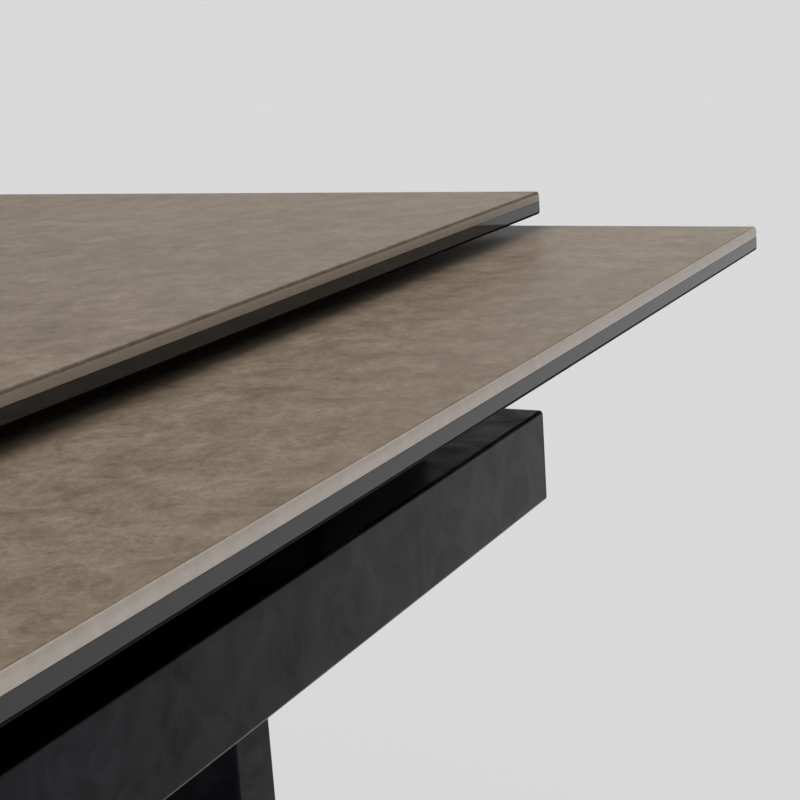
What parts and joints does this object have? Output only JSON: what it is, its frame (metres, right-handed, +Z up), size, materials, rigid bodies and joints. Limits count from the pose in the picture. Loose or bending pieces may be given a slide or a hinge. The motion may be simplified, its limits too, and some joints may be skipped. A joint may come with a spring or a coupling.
{
  "type": "extendable dining table",
  "caption": "Extendable dining table: stone-look ceramic main top, a matching leaf drawn from under each end, black steel frame and portal legs.",
  "frame": {"origin": "centre of the table's footprint on the floor", "axes": "+X along the table's length to the right leaf, +Y across its width to the back, +Z up"},
  "size_m": [1.83, 0.9, 0.76],
  "materials": {
    "ceramic_stone": "satin stone-look ceramic",
    "dark_glass": "back-painted toughened glass, satin edge",
    "black_powder_coat": "satin powder coat",
    "zinc_steel": "zinc plated",
    "black_plastic": "moulded, matte",
    "bonding_pad": "matte",
    "buffer_rubber": "matte"
  },
  "bodies": {
    "base": {"main_top_ceramic": "ceramic_stone", "main_top_glass": "dark_glass", "top_bonding_pads": "bonding_pad", "top_bar_right": "black_powder_coat", "top_bar_left": "black_powder_coat", "top_bar_spacers": "black_plastic", "end_beam_right": "black_powder_coat", "end_beam_left": "black_powder_coat", "frame_end_caps": "black_plastic", "side_rail_front": "black_powder_coat", "side_rail_back": "black_powder_coat", "cross_member_right_outer": "black_powder_coat", "cross_member_right_inner": "black_powder_coat", "cross_member_left_inner": "black_powder_coat", "cross_member_left_outer": "black_powder_coat", "slide_rail_front": "black_powder_coat", "slide_rail_back": "black_powder_coat", "stop_buffers": "buffer_rubber", "frame_bolts": "zinc_steel", "right_head_bar": "black_powder_coat", "right_foot_bar": "black_powder_coat", "right_upright_front": "black_powder_coat", "right_upright_back": "black_powder_coat", "left_head_bar": "black_powder_coat", "left_foot_bar": "black_powder_coat", "left_upright_front": "black_powder_coat", "left_upright_back": "black_powder_coat", "leg_end_caps": "black_plastic", "leg_brackets": "black_powder_coat", "leg_bolts": "zinc_steel", "levelling_feet": "black_plastic", "runner_screws": "zinc_steel", "right_runner_outer_front": "zinc_steel", "right_runner_outer_back": "zinc_steel", "left_runner_outer_front": "zinc_steel", "left_runner_outer_back": "zinc_steel"},
    "right_leaf": {"right_runner_inners": "zinc_steel", "right_leaf_ceramic": "ceramic_stone", "right_leaf_glass": "dark_glass", "right_leaf_pads": "bonding_pad", "right_arm_front": "black_powder_coat", "right_arm_back": "black_powder_coat", "right_tie_bar": "black_powder_coat", "right_arm_caps": "black_plastic", "right_arm_screws": "zinc_steel"},
    "right_middle": {"right_runner_middles": "zinc_steel"},
    "right_outer_cage": {"right_outer_cages": "zinc_steel"},
    "right_inner_cage": {"right_inner_cages": "zinc_steel"},
    "left_leaf": {"left_runner_inners": "zinc_steel", "left_leaf_ceramic": "ceramic_stone", "left_leaf_glass": "dark_glass", "left_leaf_pads": "bonding_pad", "left_arm_front": "black_powder_coat", "left_arm_back": "black_powder_coat", "left_tie_bar": "black_powder_coat", "left_arm_caps": "black_plastic", "left_arm_screws": "zinc_steel"},
    "left_middle": {"left_runner_middles": "zinc_steel"},
    "left_outer_cage": {"left_outer_cages": "zinc_steel"},
    "left_inner_cage": {"left_inner_cages": "zinc_steel"}
  },
  "joints": [
    {"name": "right_leaf_draw", "type": "slide", "parent": "base", "child": "right_leaf", "axis": [1, 0, 0], "range_m": [-0.115, 0.286]},
    {"name": "right_middle_slide", "type": "slide", "parent": "base", "child": "right_middle", "axis": [1, 0, 0], "range_m": [-0.0577, 0.1432]},
    {"name": "right_outer_cage_slide", "type": "slide", "parent": "base", "child": "right_outer_cage", "axis": [1, 0, 0], "range_m": [-0.02895, 0.0717]},
    {"name": "right_inner_cage_slide", "type": "slide", "parent": "base", "child": "right_inner_cage", "axis": [1, 0, 0], "range_m": [-0.08645, 0.2147]},
    {"name": "left_leaf_draw", "type": "slide", "parent": "base", "child": "left_leaf", "axis": [-1, 0, 0], "range_m": [-0.115, 0.286]},
    {"name": "left_middle_slide", "type": "slide", "parent": "base", "child": "left_middle", "axis": [-1, 0, 0], "range_m": [-0.0577, 0.1432]},
    {"name": "left_outer_cage_slide", "type": "slide", "parent": "base", "child": "left_outer_cage", "axis": [-1, 0, 0], "range_m": [-0.02895, 0.0717]},
    {"name": "left_inner_cage_slide", "type": "slide", "parent": "base", "child": "left_inner_cage", "axis": [-1, 0, 0], "range_m": [-0.08645, 0.2147]}
  ],
  "couplings": [
    {"joint": "right_middle_slide", "follows": "right_leaf_draw", "ratio": 0.5},
    {"joint": "right_outer_cage_slide", "follows": "right_leaf_draw", "ratio": 0.25},
    {"joint": "right_inner_cage_slide", "follows": "right_leaf_draw", "ratio": 0.75},
    {"joint": "left_middle_slide", "follows": "left_leaf_draw", "ratio": 0.5},
    {"joint": "left_outer_cage_slide", "follows": "left_leaf_draw", "ratio": 0.25},
    {"joint": "left_inner_cage_slide", "follows": "left_leaf_draw", "ratio": 0.75}
  ]
}
